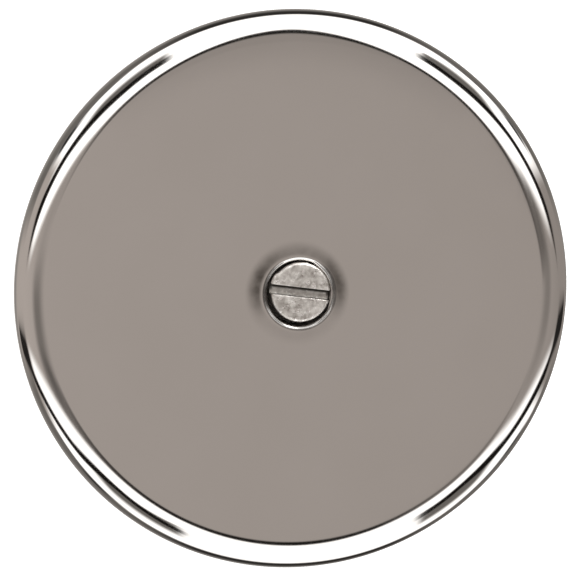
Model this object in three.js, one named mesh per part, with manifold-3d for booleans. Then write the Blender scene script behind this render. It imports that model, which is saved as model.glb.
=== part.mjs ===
// Access cover of a round floor drain: a plate with a rolled rim, held by one centre screw and a bridge bar.
// Millimetres, +Z out of the face. The origin is the centre of the plane that the rim gasket rests on.
import * as THREE from "three";
import { mergeVertices } from "three/addons/utils/BufferGeometryUtils.js";
import Module from "manifold-3d";

const wasm = await Module();
wasm.setup();

// Cover plate: drawn from one disc of sheet metal.
const PLATE_RADIUS = 60;
const SHEET = 0.8;
const FACE_Z = 3.1;
const ROLL_WIDTH = 6.6; // the rim is a quarter ellipse in section
const ROLL_DROP = 2.5;
const SKIRT_Z = 0.3; // lower edge of the rim, reached when the gasket is squeezed
const DIMPLE_MOUTH_RADIUS = 7.9;
const DIMPLE_WALL_RADIUS = 7.05;
const DIMPLE_SHOULDER_DROP = 0.5;
const DIMPLE_FLOOR_Z = -2.6;
const DIMPLE_FILLET = 0.5;
const SCREW_HOLE_RADIUS = 4.4;

// Rim gasket: moulded rubber ring that fills the hollow of the rolled rim.
const GASKET_GAP = 0.2;
const GASKET_INNER_RADIUS = 53.8;
const GASKET_OUTER_RADIUS = 58.6;
const GASKET_GROOVE_RADIUS = 56.2;
const GASKET_GROOVE_WIDTH = 1.2;
const GASKET_GROOVE_DEPTH = 0.5;

// Centre screw: slotted cheese head, M8 x 40. The shank is drawn at the thread's mean radius.
const HEAD_RADIUS = 6.4;
const HEAD_HEIGHT = 5;
const HEAD_TOP_Z = 3.2;
const HEAD_CHAMFER = 0.4;
const HEAD_OFFSET = 0.25; // the head is struck this far off the shank's axis, towards both +X and +Y
const SLOT_WIDTH = 2;
const SLOT_DEPTH = 2.2;
const SLOT_TURN = THREE.MathUtils.degToRad(-7.5);
const SHANK_RADIUS = 3.6;
const SCREW_LENGTH = 40;
const TIP_CHAMFER = 1;

// Seals and rings on the shank.
const STACK_GAP = 0.1;
const HEAD_WASHER_RADIUS = 6.6;
const HEAD_WASHER_THICKNESS = 0.6;
const RING_BORE_RADIUS = 4.2;
const O_RING_SECTION_RADIUS = 0.95;
const RETAINER_RADIUS = 8;
const RETAINER_THICKNESS = 0.6;
const RETAINER_TEETH = 6;
const RETAINER_TOOTH_RADIUS = 3.9;
const RETAINER_SLIT_RADIUS = 5.8;
const CLIP_RADIUS = 6;
const CLIP_THICKNESS = 0.7;
const CLIP_SEAT_RADIUS = 3;
const CLIP_SEAT_GAP = 0.2;
const CLIP_MOUTH_HALF_ANGLE = THREE.MathUtils.degToRad(38);
const CLIP_TO_TIP = 3.2;

// Bridge bar: a strap whose middle is lower than its two ends, with down-turned sides that hold the nut.
const BAR_LENGTH = 94;
const BAR_WIDTH = 18;
const BAR_THICKNESS = 2.4;
const BAR_END_TOP_Z = -8;
const BAR_MIDDLE_TOP_Z = -14;
const BAR_MIDDLE_HALF = 17;
const BAR_RAMP_HALF = 30;
const BAR_BEND = 3;
const BAR_CORNER_RADIUS = 5;
const BAR_SIDE_THICKNESS = 2.2;
const BAR_SIDE_DEPTH = 8.2;
const BAR_SIDE_TOP_HALF = 16;
const BAR_SIDE_FOOT_HALF = 10;
const KEEPER_SIZE = 1.1; // small nibs at the foot of the sides, under the nut
const KEEPER_LENGTH = 4.4;

// Bridge nut: square M8 nut.
const NUT_WIDTH = 13;
const NUT_HEIGHT = 6.5;
const NUT_BORE_RADIUS = 3.9;
const NUT_CHAMFER = 1.4;

const LARGE_ROUND_STEPS = 72;
const SMALL_ROUND_STEPS = 40;

const chromed = new THREE.MeshStandardMaterial({ color: 0xc9c4bf, roughness: 0.08, metalness: 1 });
const plated = new THREE.MeshStandardMaterial({ color: 0xb7b2ac, roughness: 0.35, metalness: 1 });
const zincPlated = new THREE.MeshStandardMaterial({ color: 0xa9abad, roughness: 0.45, metalness: 1 });
const springSteel = new THREE.MeshStandardMaterial({ color: 0x54565a, roughness: 0.4, metalness: 1 });
const brass = new THREE.MeshStandardMaterial({ color: 0xc09a4e, roughness: 0.35, metalness: 1 });
const rubber = new THREE.MeshStandardMaterial({ color: 0x232323, roughness: 0.8, metalness: 0 });
const fibre = new THREE.MeshStandardMaterial({ color: 0x3a3733, roughness: 0.85, metalness: 0 });

// A closed geometry as a solid that can be joined and cut.
function solid(geometry) {
  const bare = geometry.clone();
  bare.deleteAttribute("normal");
  bare.deleteAttribute("uv");
  const merged = mergeVertices(bare, 1e-4);
  return new wasm.Manifold(
    new wasm.Mesh({
      numProp: 3,
      vertProperties: new Float32Array(merged.attributes.position.array),
      triVerts: new Uint32Array(merged.index.array),
    }),
  );
}

function geometryOf(made) {
  const mesh = made.getMesh();
  const geometry = new THREE.BufferGeometry();
  geometry.setAttribute("position", new THREE.BufferAttribute(mesh.vertProperties, 3));
  geometry.setIndex(new THREE.BufferAttribute(mesh.triVerts, 1));
  geometry.computeVertexNormals();
  return geometry;
}

// Turns an outline of (radius, height) points about Z.
function lathe(points, steps) {
  return new THREE.LatheGeometry(points, steps).rotateX(Math.PI / 2);
}

// Raises a shape drawn in XY from z = 0.
function prism(shape, height) {
  return new THREE.ExtrudeGeometry(shape, {
    depth: height,
    bevelEnabled: false,
    curveSegments: SMALL_ROUND_STEPS / 4,
  });
}

function block(width, depth, height, x, y, z) {
  return new THREE.BoxGeometry(width, depth, height).translate(x, y, z);
}

// Points of an ellipse's arc, both ends included.
function arc(centreR, centreZ, semiR, semiZ, fromDegrees, toDegrees, steps) {
  return Array.from({ length: steps + 1 }, (_, i) => {
    const angle = THREE.MathUtils.degToRad(THREE.MathUtils.lerp(fromDegrees, toDegrees, i / steps));
    return new THREE.Vector2(centreR + semiR * Math.cos(angle), centreZ + semiZ * Math.sin(angle));
  });
}

// The line that runs beside an open line of points, at a distance to its right.
function beside(points, distance) {
  const normals = points.slice(1).map((point, i) => {
    const along = point.clone().sub(points[i]).normalize();
    return new THREE.Vector2(along.y, -along.x);
  });
  return points.map((point, i) => {
    const before = normals[Math.max(i - 1, 0)];
    const after = normals[Math.min(i, normals.length - 1)];
    const mitre = before.clone().add(after).normalize();
    return point.clone().addScaledVector(mitre, distance / mitre.dot(after));
  });
}

function closed(points) {
  return [...points, points[0].clone()];
}

function ring(innerRadius, outerRadius, bottomZ, topZ) {
  return closed([
    new THREE.Vector2(innerRadius, bottomZ),
    new THREE.Vector2(outerRadius, bottomZ),
    new THREE.Vector2(outerRadius, topZ),
    new THREE.Vector2(innerRadius, topZ),
  ]);
}

function axisToRadius(radius, bottomZ, topZ) {
  return [
    new THREE.Vector2(0, bottomZ),
    new THREE.Vector2(radius, bottomZ),
    new THREE.Vector2(radius, topZ),
    new THREE.Vector2(0, topZ),
  ];
}

// The rolled rim's outer surface in section, from the face out to the widest point.
function rollSection(fromDegrees, toDegrees, steps) {
  const centreR = PLATE_RADIUS - ROLL_WIDTH;
  return arc(centreR, FACE_Z - ROLL_DROP, ROLL_WIDTH, ROLL_DROP, fromDegrees, toDegrees, steps);
}

function coverPlate() {
  const shoulderZ = FACE_Z - DIMPLE_SHOULDER_DROP;
  const shoulderWidth = DIMPLE_MOUTH_RADIUS - DIMPLE_WALL_RADIUS;
  const filletR = DIMPLE_WALL_RADIUS - DIMPLE_FILLET;
  const filletZ = DIMPLE_FLOOR_Z + DIMPLE_FILLET;
  const top = [
    new THREE.Vector2(SCREW_HOLE_RADIUS, DIMPLE_FLOOR_Z),
    ...arc(filletR, filletZ, DIMPLE_FILLET, DIMPLE_FILLET, -90, 0, 3),
    ...arc(DIMPLE_MOUTH_RADIUS, shoulderZ, shoulderWidth, DIMPLE_SHOULDER_DROP, 180, 90, 4),
    ...rollSection(90, 0, 9),
    new THREE.Vector2(PLATE_RADIUS, SKIRT_Z),
  ];
  const underside = beside(top, SHEET);
  return lathe(closed([...underside, ...top.reverse()]), LARGE_ROUND_STEPS);
}

function rimGasket() {
  const grooveInner = GASKET_GROOVE_RADIUS - GASKET_GROOVE_WIDTH / 2;
  const grooveOuter = GASKET_GROOVE_RADIUS + GASKET_GROOVE_WIDTH / 2;
  const crown = beside(rollSection(84, 12, 5), SHEET + GASKET_GAP);
  const section = [
    new THREE.Vector2(GASKET_INNER_RADIUS, crown[0].y),
    new THREE.Vector2(GASKET_INNER_RADIUS, 0),
    new THREE.Vector2(grooveInner, 0),
    new THREE.Vector2(grooveInner, GASKET_GROOVE_DEPTH),
    new THREE.Vector2(grooveOuter, GASKET_GROOVE_DEPTH),
    new THREE.Vector2(grooveOuter, 0),
    new THREE.Vector2(GASKET_OUTER_RADIUS, 0),
    ...crown.reverse(),
  ];
  return lathe(closed(section), LARGE_ROUND_STEPS);
}

// Drawn with the top of its head at z = 0.
function centreScrew() {
  const tip = -HEAD_HEIGHT - SCREW_LENGTH;
  const grooveBottom = tip + CLIP_TO_TIP - STACK_GAP;
  const grooveTop = tip + CLIP_TO_TIP + CLIP_THICKNESS + STACK_GAP;
  const profile = (corners) => corners.map(([radius, z]) => new THREE.Vector2(radius, z));
  const shank = profile([
    [0, tip],
    [SHANK_RADIUS - TIP_CHAMFER, tip],
    [SHANK_RADIUS, tip + TIP_CHAMFER],
    [SHANK_RADIUS, grooveBottom],
    [CLIP_SEAT_RADIUS, grooveBottom],
    [CLIP_SEAT_RADIUS, grooveTop],
    [SHANK_RADIUS, grooveTop],
    [SHANK_RADIUS, -HEAD_HEIGHT / 2],
    [0, -HEAD_HEIGHT / 2],
  ]);
  const head = profile([
    [0, -HEAD_HEIGHT],
    [HEAD_RADIUS, -HEAD_HEIGHT],
    [HEAD_RADIUS, -HEAD_CHAMFER],
    [HEAD_RADIUS - HEAD_CHAMFER, 0],
    [0, 0],
  ]);
  const slot = block(4 * HEAD_RADIUS, SLOT_WIDTH, 2 * SLOT_DEPTH, 0, 0, 0).rotateZ(SLOT_TURN);
  const slotted = solid(lathe(head, SMALL_ROUND_STEPS)).subtract(solid(slot));
  const offHead = slotted.translate(HEAD_OFFSET, HEAD_OFFSET, 0);
  return geometryOf(solid(lathe(shank, SMALL_ROUND_STEPS)).add(offHead));
}

function oRing() {
  const centreR = RING_BORE_RADIUS + O_RING_SECTION_RADIUS;
  const section = arc(centreR, 0, O_RING_SECTION_RADIUS, O_RING_SECTION_RADIUS, 0, 360, 8);
  return lathe(closed(section.slice(0, -1)), SMALL_ROUND_STEPS);
}

// A push-on washer: slits from its bore leave teeth that bite on the shank.
function retainingWasher() {
  const shape = new THREE.Shape().absarc(0, 0, RETAINER_RADIUS, 0, 2 * Math.PI);
  const pitch = (2 * Math.PI) / RETAINER_TEETH;
  const slitHalf = pitch / 8;
  const bore = new THREE.Path();
  for (let i = 0; i < RETAINER_TEETH; i++) {
    const middle = i * pitch;
    bore.absarc(0, 0, RETAINER_SLIT_RADIUS, middle - slitHalf, middle + slitHalf);
    bore.absarc(0, 0, RETAINER_TOOTH_RADIUS, middle + slitHalf * 1.5, middle + pitch - slitHalf * 1.5);
  }
  bore.closePath();
  shape.holes.push(bore);
  return new THREE.ExtrudeGeometry(shape, {
    depth: RETAINER_THICKNESS,
    bevelEnabled: false,
    curveSegments: 6,
  });
}

// An open clip that snaps into the groove near the screw's tip.
function endClip() {
  const mouth = CLIP_MOUTH_HALF_ANGLE;
  const shape = new THREE.Shape();
  shape.absarc(0, 0, CLIP_RADIUS, mouth, 2 * Math.PI - mouth);
  shape.absarc(0, 0, CLIP_SEAT_RADIUS + CLIP_SEAT_GAP, 2 * Math.PI - mouth, mouth, true);
  shape.closePath();
  return prism(shape, CLIP_THICKNESS);
}

function roundedRectangle(length, width, radius) {
  const x = length / 2;
  const y = width / 2;
  const shape = new THREE.Shape();
  shape.absarc(x - radius, y - radius, radius, 0, Math.PI / 2);
  shape.absarc(radius - x, y - radius, radius, Math.PI / 2, Math.PI);
  shape.absarc(radius - x, radius - y, radius, Math.PI, 1.5 * Math.PI);
  shape.absarc(x - radius, radius - y, radius, 1.5 * Math.PI, 2 * Math.PI);
  return shape;
}

// Half of the strap's top line, from the middle out to +X, as length and height.
function strapTopLine() {
  const line = new THREE.Path();
  line.moveTo(0, BAR_MIDDLE_TOP_Z);
  line.lineTo(BAR_MIDDLE_HALF - BAR_BEND, BAR_MIDDLE_TOP_Z);
  const run = BAR_RAMP_HALF - BAR_MIDDLE_HALF;
  const rise = BAR_END_TOP_Z - BAR_MIDDLE_TOP_Z;
  const part = BAR_BEND / Math.hypot(run, rise);
  const rampStart = [BAR_MIDDLE_HALF + run * part, BAR_MIDDLE_TOP_Z + rise * part];
  const rampEnd = [BAR_RAMP_HALF - run * part, BAR_END_TOP_Z - rise * part];
  line.quadraticCurveTo(BAR_MIDDLE_HALF, BAR_MIDDLE_TOP_Z, ...rampStart);
  line.lineTo(...rampEnd);
  line.quadraticCurveTo(BAR_RAMP_HALF, BAR_END_TOP_Z, BAR_RAMP_HALF + BAR_BEND, BAR_END_TOP_Z);
  line.lineTo(BAR_LENGTH / 2, BAR_END_TOP_Z);
  return line.getPoints(4);
}

function mirrored(points) {
  return points.map((point) => new THREE.Vector2(-point.x, point.y)).reverse();
}

// Stands a shape drawn in length and height on edge, centred across the width.
function acrossWidth(shape, width, y) {
  return prism(shape, width)
    .translate(0, 0, -width / 2)
    .rotateX(Math.PI / 2)
    .translate(0, y, 0);
}

function bridgeBar() {
  const half = strapTopLine();
  const topLine = [...mirrored(half.slice(1)), ...half];
  const bottomLine = beside(topLine, BAR_THICKNESS).reverse();
  const strap = acrossWidth(new THREE.Shape([...topLine, ...bottomLine]), BAR_WIDTH, 0);
  const planBottom = BAR_MIDDLE_TOP_Z - 2 * BAR_THICKNESS;
  const planHeight = BAR_END_TOP_Z + BAR_THICKNESS - planBottom;
  const plan = prism(roundedRectangle(BAR_LENGTH, BAR_WIDTH, BAR_CORNER_RADIUS), planHeight);
  let bar = solid(strap).intersect(solid(plan.translate(0, 0, planBottom)));

  const sideTop = BAR_MIDDLE_TOP_Z - BAR_THICKNESS / 2;
  const sideFoot = BAR_MIDDLE_TOP_Z - BAR_THICKNESS - BAR_SIDE_DEPTH;
  const sideOutline = new THREE.Shape([
    new THREE.Vector2(-BAR_SIDE_TOP_HALF, sideTop),
    new THREE.Vector2(-BAR_SIDE_FOOT_HALF, sideFoot),
    new THREE.Vector2(BAR_SIDE_FOOT_HALF, sideFoot),
    new THREE.Vector2(BAR_SIDE_TOP_HALF, sideTop),
  ]);
  const sideY = (BAR_WIDTH - BAR_SIDE_THICKNESS) / 2;
  const keeperY = BAR_WIDTH / 2 - BAR_SIDE_THICKNESS;
  const keeperZ = sideFoot + KEEPER_SIZE / 2;
  for (const side of [-1, 1]) {
    bar = bar.add(solid(acrossWidth(sideOutline, BAR_SIDE_THICKNESS, side * sideY)));
    const keeper = block(KEEPER_LENGTH, 2 * KEEPER_SIZE, KEEPER_SIZE, 0, side * keeperY, keeperZ);
    bar = bar.add(solid(keeper));
  }
  const hole = lathe(axisToRadius(SCREW_HOLE_RADIUS, planBottom, BAR_END_TOP_Z), SMALL_ROUND_STEPS);
  return geometryOf(bar.subtract(solid(hole)));
}

// Drawn with its top at z = 0; the corners of its lower face are chamfered.
function bridgeNut() {
  const half = NUT_WIDTH / 2;
  const shape = new THREE.Shape([
    new THREE.Vector2(-half, -half),
    new THREE.Vector2(half, -half),
    new THREE.Vector2(half, half),
    new THREE.Vector2(-half, half),
  ]);
  shape.holes.push(new THREE.Path().absarc(0, 0, NUT_BORE_RADIUS, 0, 2 * Math.PI, true));
  const body = prism(shape, NUT_HEIGHT).translate(0, 0, -NUT_HEIGHT);
  const cornerRadius = half * Math.SQRT2 + STACK_GAP;
  const turned = lathe(
    [
      new THREE.Vector2(0, -NUT_HEIGHT),
      new THREE.Vector2(half, -NUT_HEIGHT),
      new THREE.Vector2(cornerRadius, NUT_CHAMFER - NUT_HEIGHT),
      new THREE.Vector2(cornerRadius, STACK_GAP),
      new THREE.Vector2(0, STACK_GAP),
    ],
    SMALL_ROUND_STEPS,
  );
  return geometryOf(solid(body).intersect(solid(turned)));
}

function piece(name, geometry, material, z = 0) {
  const mesh = new THREE.Mesh(geometry, material);
  mesh.name = name;
  mesh.position.z = z;
  return mesh;
}

const headSeatZ = HEAD_TOP_Z - HEAD_HEIGHT;
const headWasher = ring(RING_BORE_RADIUS, HEAD_WASHER_RADIUS, -HEAD_WASHER_THICKNESS, 0);
const oRingZ = DIMPLE_FLOOR_Z - SHEET - STACK_GAP - O_RING_SECTION_RADIUS;
const retainerZ = oRingZ - O_RING_SECTION_RADIUS - STACK_GAP - RETAINER_THICKNESS;
const clipZ = headSeatZ - SCREW_LENGTH + CLIP_TO_TIP;
const nutTopZ = BAR_MIDDLE_TOP_Z - BAR_THICKNESS - STACK_GAP;

const cover = new THREE.Group();
cover.add(
  piece("cover_plate", coverPlate(), chromed),
  piece("rim_gasket", rimGasket(), rubber),
  piece("head_washer", lathe(headWasher, SMALL_ROUND_STEPS), fibre, headSeatZ - STACK_GAP),
  piece("shank_o_ring", oRing(), rubber, oRingZ),
);

const screw = new THREE.Group();
screw.add(
  piece("center_screw", centreScrew(), plated, HEAD_TOP_Z),
  piece("retaining_washer", retainingWasher(), springSteel, retainerZ),
  piece("end_clip", endClip(), springSteel, clipZ),
);

const bridge = new THREE.Group();
bridge.add(
  piece("bridge_bar", bridgeBar(), zincPlated),
  piece("bridge_nut", bridgeNut(), brass, nutTopZ),
);

const drainCover = new THREE.Group();
drainCover.add(cover, screw, bridge);

export default drainCover;
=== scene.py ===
"""A polished access cover of a round floor drain, with its slotted screw, gasket and bridge bar."""

import math

import bmesh
import bpy
from mathutils import Matrix, Vector


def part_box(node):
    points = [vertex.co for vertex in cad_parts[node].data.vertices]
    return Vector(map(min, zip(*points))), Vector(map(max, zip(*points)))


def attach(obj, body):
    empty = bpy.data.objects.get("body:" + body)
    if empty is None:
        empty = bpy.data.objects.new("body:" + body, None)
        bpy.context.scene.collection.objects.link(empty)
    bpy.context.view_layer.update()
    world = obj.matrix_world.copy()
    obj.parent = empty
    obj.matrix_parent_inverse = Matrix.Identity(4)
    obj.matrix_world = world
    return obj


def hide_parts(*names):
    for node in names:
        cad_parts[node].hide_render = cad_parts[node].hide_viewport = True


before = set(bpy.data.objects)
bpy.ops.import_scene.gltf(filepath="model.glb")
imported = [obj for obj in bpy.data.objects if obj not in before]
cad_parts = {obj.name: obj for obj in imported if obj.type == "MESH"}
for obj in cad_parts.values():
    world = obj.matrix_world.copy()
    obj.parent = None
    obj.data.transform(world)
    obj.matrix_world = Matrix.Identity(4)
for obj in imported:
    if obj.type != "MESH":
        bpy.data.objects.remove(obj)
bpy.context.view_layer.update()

MM = 0.001
TAU = 2 * math.pi

# Sizes read from the frame.
plate_low, plate_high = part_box("cover_plate")
gasket_low, gasket_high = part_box("rim_gasket")
screw_low, screw_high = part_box("center_screw")
washer_low, washer_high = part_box("head_washer")
o_ring_low, o_ring_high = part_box("shank_o_ring")
retainer_low, retainer_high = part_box("retaining_washer")
clip_low, clip_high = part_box("end_clip")
_, bar_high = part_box("bridge_bar")
nut_low, nut_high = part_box("bridge_nut")

# Cover plate.
PLATE_RADIUS = plate_high.x
FACE_Z = plate_high.z
SHEET = 0.8 * MM
ROLL_WIDTH = 0.11 * PLATE_RADIUS
ROLL_DROP = 2.5 * MM
SKIRT_Z = plate_low.z + 3.7 * MM
DIMPLE_MOUTH_RADIUS = 7.9 * MM
DIMPLE_WALL_RADIUS = 7.05 * MM
DIMPLE_SHOULDER_DROP = 0.5 * MM
DIMPLE_FLOOR_Z = plate_low.z + SHEET
DIMPLE_FILLET = 0.5 * MM
DIMPLE_DENT = 0.22 * MM
DENT_ARC = (-15, 48, 18)  # start, end and fade, in degrees about Z
SCREW_HOLE_RADIUS = 4.4 * MM

# Screw: M8 thread, right-handed.
PITCH = 1.25 * MM
THREAD_RADIUS = 4 * MM
ROOT_RADIUS = 3.32 * MM
NECK_RADIUS = 3.3 * MM
HEAD_OFFSET = Vector((0.25 * MM, 0.25 * MM, 0))
HEAD_RADIUS = screw_high.x - HEAD_OFFSET.x
HEAD_TOP_Z = screw_high.z
HEAD_HEIGHT = 5 * MM
HEAD_FACE_RADIUS = 5.7 * MM
HEAD_EDGE_DROP = 0.4 * MM
SLOT_WIDTH = 2 * MM
SLOT_DEPTH = 2.2 * MM
SLOT_TURN = math.radians(-7.5)
BURR = 0.4 * MM
BURR_ARC = (146, 163, 9)  # start, end and fade, in degrees about Z
CREST_HALF = 1 / 16  # half the thread's crest, as a share of the pitch
FLANK = 5 / 16  # the width of one flank, as a share of the pitch

# Bridge bar.
BAR_THICKNESS = 2.4 * MM
BAR_END_TOP_Z = bar_high.z
BAR_MIDDLE_TOP_Z = bar_high.z - 6 * MM
BAR_MIDDLE_HALF = 17 * MM
BAR_RAMP_HALF = 30 * MM
BAR_BEND = 3 * MM
BAR_CORNER_RADIUS = 5 * MM
BAR_EDGE = 0.35 * MM
BAR_FOLD = 3 * MM
BAR_SIDE_THICKNESS = 2.2 * MM
BAR_SIDE_DEPTH = 8.2 * MM
BAR_SIDE_TOP_HALF = 16 * MM
BAR_SIDE_FOOT_HALF = 10 * MM
KEEPER_SIZE = 1.1 * MM
KEEPER_LENGTH = 4.4 * MM

# Meshes: steps round the axis, and the bend from which an edge is left sharp.
PLATE_STEPS = 288
GASKET_STEPS = 192
SMALL_STEPS = 96
SHARP_DEGREES = 35

# The camera: tilted from straight above, towards -X and +Y.
CAMERA_TILT = math.radians(11.92)
CAMERA_TURN = math.radians(149.7)
CAMERA_DISTANCE = 6.4 * PLATE_RADIUS
CAMERA_AIM = Vector((-2.29 * MM, 1.22 * MM, 0))
CAMERA_LENS = 112.66
camera_side = Vector((math.cos(CAMERA_TURN), math.sin(CAMERA_TURN), 0))
camera_direction = camera_side * math.sin(CAMERA_TILT) + Vector((0, 0, math.cos(CAMERA_TILT)))


# ---------------------------------------------------------------- node formulas


class Term:
    """A node socket that can be used in a formula."""

    def __init__(self, tree, socket):
        self.tree = tree
        self.socket = socket

    def math(self, operation, *others, clamp=False):
        node = self.tree.nodes.new("ShaderNodeMath")
        node.operation = operation
        node.use_clamp = clamp
        for slot, value in zip(node.inputs, (self, *others)):
            feed(self.tree, slot, value)
        return Term(self.tree, node.outputs[0])

    def __add__(self, other):
        return self.math("ADD", other)

    def __sub__(self, other):
        return self.math("SUBTRACT", other)

    def __mul__(self, other):
        return self.math("MULTIPLY", other)

    def __truediv__(self, other):
        return self.math("DIVIDE", other)

    def __neg__(self):
        return self.math("MULTIPLY", -1.0)

    def __abs__(self):
        return self.math("ABSOLUTE")

    def invert(self):
        return -self + 1.0

    def least(self, other):
        return self.math("MINIMUM", other)

    def most(self, other):
        return self.math("MAXIMUM", other)

    def clamped(self):
        return self.math("ADD", 0.0, clamp=True)

    def clamped_to(self, low, high):
        return self.most(low).least(high)

    def step(self, start, end, low=0.0, high=1.0):
        """Rises smoothly from low at start to high at end."""
        node = self.tree.nodes.new("ShaderNodeMapRange")
        node.interpolation_type = "SMOOTHSTEP"
        names = ("Value", "From Min", "From Max", "To Min", "To Max")
        for name, value in zip(names, (self, start, end, low, high)):
            feed(self.tree, node.inputs[name], value)
        return Term(self.tree, node.outputs["Result"])

    def ramp(self, start, end, low=0.0, high=1.0):
        """Rises in a straight line from low at start to high at end."""
        made = self.step(start, end, low, high)
        made.socket.node.interpolation_type = "LINEAR"
        return made

    def bell(self, centre, width):
        """1 at centre, falling to almost nothing at two widths from it."""
        away = (self - centre) / width
        return (-(away * away)).math("EXPONENT")


def feed(tree, slot, value):
    """Links a Term or a socket to an input, or sets its value."""
    if isinstance(value, Term):
        value = value.socket
    if isinstance(value, bpy.types.NodeSocket):
        tree.links.new(value, slot)
    elif isinstance(value, (tuple, list, Vector)):
        slot.default_value = (*value, 1.0) if slot.type == "RGBA" and len(value) == 3 else value
    else:
        slot.default_value = value


def parts_of(tree, vector):
    """The x, y and z of a vector, as Terms."""
    node = tree.nodes.new("ShaderNodeSeparateXYZ")
    feed(tree, node.inputs[0], vector)
    return [Term(tree, output) for output in node.outputs]


def noise_of(tree, place, scale, detail=2.0, roughness=0.5):
    node = tree.nodes.new("ShaderNodeTexNoise")
    feed(tree, node.inputs["Vector"], place)
    node.inputs["Scale"].default_value = scale
    node.inputs["Detail"].default_value = detail
    node.inputs["Roughness"].default_value = roughness
    return Term(tree, node.outputs[0])


def mix_colours(tree, share, first, second):
    """A mix of two colours. Inputs 6 and 7 and output 2 are the node's colour sockets."""
    node = tree.nodes.new("ShaderNodeMix")
    node.data_type = "RGBA"
    node.clamp_factor = False
    feed(tree, node.inputs["Factor"], share)
    feed(tree, node.inputs[6], first)
    feed(tree, node.inputs[7], second)
    return node.outputs[2]


# ---------------------------------------------------------------- materials


class Surface:
    """A Principled material in a piece's own coordinates, in metres."""

    def __init__(self, name, colour, metallic, roughness):
        self.material = bpy.data.materials.new(name)
        self.material.use_nodes = True
        self.tree = self.material.node_tree
        self.shader = self.tree.nodes["Principled BSDF"]
        self.place = self.tree.nodes.new("ShaderNodeTexCoord").outputs["Object"]
        self.normal = None
        feed(self.tree, self.shader.inputs["Base Color"], colour)
        feed(self.tree, self.shader.inputs["Metallic"], metallic)
        feed(self.tree, self.shader.inputs["Roughness"], roughness)

    def set(self, name, value):
        feed(self.tree, self.shader.inputs[name], value)

    def stretched(self, x, y, z):
        """The piece's coordinates, scaled along each axis."""
        node = self.tree.nodes.new("ShaderNodeMapping")
        feed(self.tree, node.inputs["Vector"], self.place)
        node.inputs["Scale"].default_value = (x, y, z)
        return node.outputs["Vector"]

    def noise(self, size, detail=3.0, roughness=0.5, place=None):
        """A Term from 0 to 1 that varies over about that size, in metres."""
        return noise_of(self.tree, place or self.place, 1 / size, detail, roughness)

    def axes(self):
        return parts_of(self.tree, self.place)

    def radius(self):
        x, y, _ = self.axes()
        return (x * x + y * y).math("SQRT")

    def bump(self, height, distance, strength=1.0):
        """Raises the surface by a Term times a distance, on top of any earlier bump."""
        node = self.tree.nodes.new("ShaderNodeBump")
        node.inputs["Strength"].default_value = strength
        node.inputs["Distance"].default_value = distance
        feed(self.tree, node.inputs["Height"], height)
        if self.normal:
            feed(self.tree, node.inputs["Normal"], self.normal)
        self.normal = node.outputs["Normal"]
        self.set("Normal", self.normal)


def polished_plate():
    """Mirror-polished sheet with faint polishing marks, painted shade in a ring round the dimple's mouth, and
    painted shade on the dimple's lip except at its top.
    """
    steel = Surface("polished_plate", (0.78, 0.75, 0.72), 1.0, 0.05)
    haze = steel.noise(9 * MM, 4.0)
    rings = steel.noise(0.25 * MM, 2.0, place=steel.stretched(1, 0.02, 1))
    tint = steel.noise(22 * MM, 3.0).ramp(0.35, 0.65)
    clean = mix_colours(steel.tree, tint, (0.770, 0.740, 0.710), (0.785, 0.755, 0.727))

    x, y, _ = steel.axes()
    radius = steel.radius()
    high = y / radius
    patchy = steel.noise(3 * MM, 3.0).ramp(0.3, 0.7, 0.8, 1.2)
    # Painted shade: a dark brownish ring just outside the dimple's mouth, strongest at its sides and above it
    # and faint below it, in place of the dimple's shading.
    spread = radius + x * 0.04
    painted_halo_shade = spread.step(7.7 * MM, 8.6 * MM) * spread.step(8.9 * MM, 11.6 * MM).invert() * patchy
    painted_halo_shade = (painted_halo_shade * high.step(-0.7, 0.1, 0.15, 1.0) * high.step(0.45, 1.0, 1.0, 0.5) * 0.7).clamped()
    # Painted shade on the dimple's lip, all round it except at its top, which dims the lip's highlight below.
    lip = radius.step(7.0 * MM, 7.2 * MM) * radius.step(7.9 * MM, 8.1 * MM).invert()
    painted_lip_shade = lip * patchy * (high.step(-0.5, -0.2, 0.5, 0.75) - high.step(0.6, 0.9, 0.0, 0.75))
    # Mixes in the dark colour of the painted shade round the dimple, then the painted shade on its lip.
    steel_with_halo_shade = mix_colours(steel.tree, painted_halo_shade, clean, (0.02, 0.01, 0.0))
    steel.set("Base Color", mix_colours(steel.tree, painted_lip_shade.clamped(), steel_with_halo_shade, (0.05, 0.045, 0.04)))
    inside = radius.step(7.0 * MM, 7.15 * MM).invert()
    polish = haze.ramp(0.3, 0.7, 0.035, 0.06) + rings.ramp(0.4, 0.8, 0.0, 0.015)
    steel.set("Roughness", polish + painted_halo_shade * 0.1 + painted_lip_shade * 0.2 + inside * 0.3)
    steel.bump(rings, 0.0004 * MM, 0.3)
    return steel.material


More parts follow.
